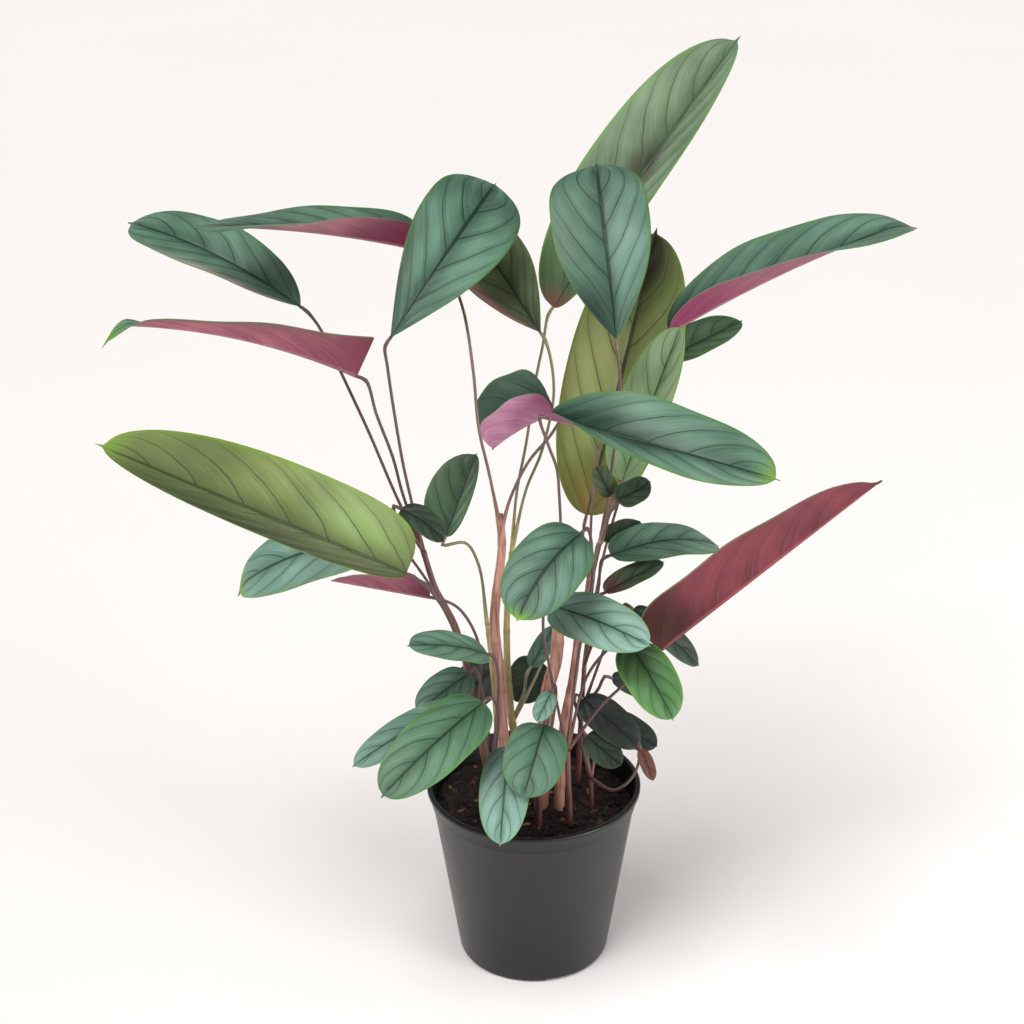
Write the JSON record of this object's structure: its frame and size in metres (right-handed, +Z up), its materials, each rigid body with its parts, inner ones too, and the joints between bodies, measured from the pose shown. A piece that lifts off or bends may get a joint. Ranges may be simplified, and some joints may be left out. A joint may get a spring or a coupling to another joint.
{
  "type": "potted ctenanthe setosa",
  "caption": "Potted prayer plant: upright canes and long stalks carry oval feather-marked leaves, silvery green above and wine red beneath, in a tapered nursery pot of soil",
  "frame": {"origin": "centre of the pot's flat underside, on the surface it stands on", "axes": "+Z up, -Y towards the viewer, +X to the viewer's right"},
  "size_m": [0.6077, 0.3231, 0.7034],
  "materials": {
    "pot": "satin charcoal injection-moulded plastic",
    "soil": "moist peat and bark potting mix, dark brown",
    "silver": "living leaf, silvery blue-green above with dark feathered veins, rosy beneath, soft satin",
    "teal": "living leaf, deep blue-green above with dark feathered veins, rosy beneath, soft satin",
    "dark": "living leaf, dark green in the shade, soft satin",
    "olive": "living leaf, olive to yellow-green where light comes through, dark feathered veins",
    "bright": "living leaf, fresh green with a bright edge and tip",
    "rosy": "living leaf seen from its rosy pink underside",
    "maroon": "living leaf seen from its wine red underside",
    "dry": "withered leaf, pink-brown and matt",
    "cane": "living cane, reddish tan with darker joints, satin",
    "stalk": "living leaf stalk, dark reddish brown, satin",
    "lime": "living leaf stalk, yellow-green, satin"
  },
  "bodies": {
    "root": {"pot": "pot", "soil": "soil", "stem_left": "stalk", "stem_left_inner": "lime", "stem_cane": "cane", "stem_centre": "lime", "stem_centre_red": "cane", "stem_right_red": "cane", "stem_right": "stalk", "stem_right_front": "stalk", "stem_low_left": "stalk", "stem_low_front": "stalk", "stem_low_right": "stalk", "leaf_far_left": "silver", "leaf_left_folded": "silver", "leaf_left_rosy": "rosy", "leaf_upper_left": "silver", "leaf_upper_back": "teal", "leaf_tall": "silver", "leaf_right_folded": "silver", "leaf_crown": "teal", "leaf_olive_upright": "olive", "leaf_olive_narrow": "olive", "leaf_bright_front": "silver", "leaf_short_folded": "teal", "leaf_big_olive": "olive", "leaf_low_left_teal": "teal", "leaf_low_left_rosy": "rosy", "leaf_teal_behind": "dark", "leaf_small_upright": "teal", "leaf_centre_front": "silver", "leaf_centre_pale": "silver", "leaf_drooping_bright": "bright", "leaf_small_dark_right": "dark", "leaf_maroon_right": "maroon", "leaf_back_right_dark": "dark", "leaf_curled_right": "olive", "leaf_curled_left": "olive", "leaf_right_middle": "silver", "leaf_right_under": "dark", "leaf_small_dark_centre": "dark", "leaf_low_left_green": "silver", "leaf_low_left_round": "silver", "leaf_low_left_dark": "dark", "leaf_dark_between": "dark", "leaf_low_outer": "silver", "leaf_low_broad": "silver", "leaf_over_rim": "silver", "leaf_front_round": "silver", "leaf_front_small": "silver", "leaf_blue_between": "teal", "leaf_dark_low_right": "dark", "leaf_dark_low_back": "dark", "leaf_dry_curl": "dry", "leaf_purple_low": "maroon", "leaf_soil_leaf": "dark"}
  },
  "joints": []
}
